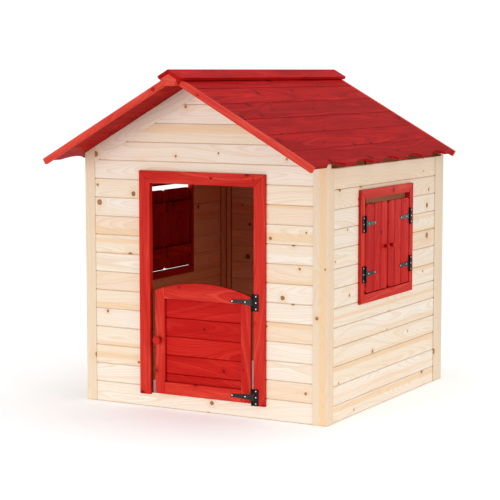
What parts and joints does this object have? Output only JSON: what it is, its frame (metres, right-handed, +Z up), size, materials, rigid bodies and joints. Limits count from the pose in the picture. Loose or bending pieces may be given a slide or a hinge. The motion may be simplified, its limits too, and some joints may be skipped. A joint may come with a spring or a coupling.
{
  "type": "wooden playhouse",
  "caption": "Small wooden garden playhouse of grooved boards with a red pitched board roof, an arched half door and shuttered side windows on T-hinges.",
  "frame": {"origin": "on the ground, under the middle of the whole house", "axes": "+X to the right across the front, the front with the door faces -Y, +Z up"},
  "size_m": [1.222, 1.45, 1.3784],
  "materials": {
    "pine": "planed, untreated",
    "red_wood": "red stain, satin",
    "black_steel": "black powder coat",
    "zinc_steel": "zinc plated"
  },
  "bodies": {
    "house": {"front_boards": "pine", "back_boards": "pine", "left_boards": "pine", "right_boards": "pine", "notched_boards": "pine", "front_left_stile": "pine", "front_right_stile": "pine", "back_left_stile": "pine", "back_right_stile": "pine", "left_wall_stiles": "pine", "right_wall_stiles": "pine", "rake_trims": "pine", "wall_cleats": "pine", "roof_battens": "pine", "door_casing_left": "red_wood", "door_casing_right": "red_wood", "door_casing_head": "red_wood", "door_lining": "red_wood", "right_window_casing": "red_wood", "left_window_casing": "red_wood", "window_linings": "red_wood", "ridge_beam": "red_wood", "ridge_cap_left": "red_wood", "ridge_cap_right": "red_wood", "roof_boards_left": "red_wood", "roof_boards_right": "red_wood", "barge_boards": "red_wood", "hinge_plates": "black_steel", "hinge_pins": "black_steel", "plate_screws": "zinc_steel"},
    "door": {"door_left_stile": "red_wood", "door_right_stile": "red_wood", "door_top_rail": "red_wood", "door_bottom_rail": "red_wood", "door_boards": "red_wood", "door_knob": "red_wood", "door_straps": "black_steel", "door_screws": "zinc_steel"},
    "right_front_shutter": {"right_front_shutter_boards": "red_wood", "right_front_shutter_ledges": "red_wood", "right_front_shutter_knob": "red_wood", "right_front_shutter_straps": "black_steel", "right_front_shutter_screws": "zinc_steel"},
    "right_back_shutter": {"right_back_shutter_boards": "red_wood", "right_back_shutter_ledges": "red_wood", "right_back_shutter_knob": "red_wood", "right_back_shutter_straps": "black_steel", "right_back_shutter_screws": "zinc_steel"},
    "left_front_shutter": {"left_front_shutter_boards": "red_wood", "left_front_shutter_ledges": "red_wood", "left_front_shutter_knob": "red_wood", "left_front_shutter_straps": "black_steel", "left_front_shutter_screws": "zinc_steel"},
    "left_back_shutter": {"left_back_shutter_boards": "red_wood", "left_back_shutter_ledges": "red_wood", "left_back_shutter_knob": "red_wood", "left_back_shutter_straps": "black_steel", "left_back_shutter_screws": "zinc_steel"}
  },
  "joints": [
    {"name": "door_hinge", "type": "hinge", "parent": "house", "child": "door", "pos_m": [0.236, -0.4868, 0.276], "axis": [0, 0, 1], "range_deg": [0, 170]},
    {"name": "right_front_shutter_hinge", "type": "hinge", "parent": "house", "child": "right_front_shutter", "pos_m": [0.5738, -0.1545, 0.662], "axis": [0, 0, -1], "range_deg": [0, 170]},
    {"name": "right_back_shutter_hinge", "type": "hinge", "parent": "house", "child": "right_back_shutter", "pos_m": [0.5738, 0.2865, 0.662], "axis": [0, 0, 1], "range_deg": [0, 170]},
    {"name": "left_front_shutter_hinge", "type": "hinge", "parent": "house", "child": "left_front_shutter", "pos_m": [-0.5738, -0.0775, 0.662], "axis": [0, 0, 1], "range_deg": [0, 170]},
    {"name": "left_back_shutter_hinge", "type": "hinge", "parent": "house", "child": "left_back_shutter", "pos_m": [-0.5738, 0.3635, 0.662], "axis": [0, 0, -1], "range_deg": [0, 170]}
  ]
}
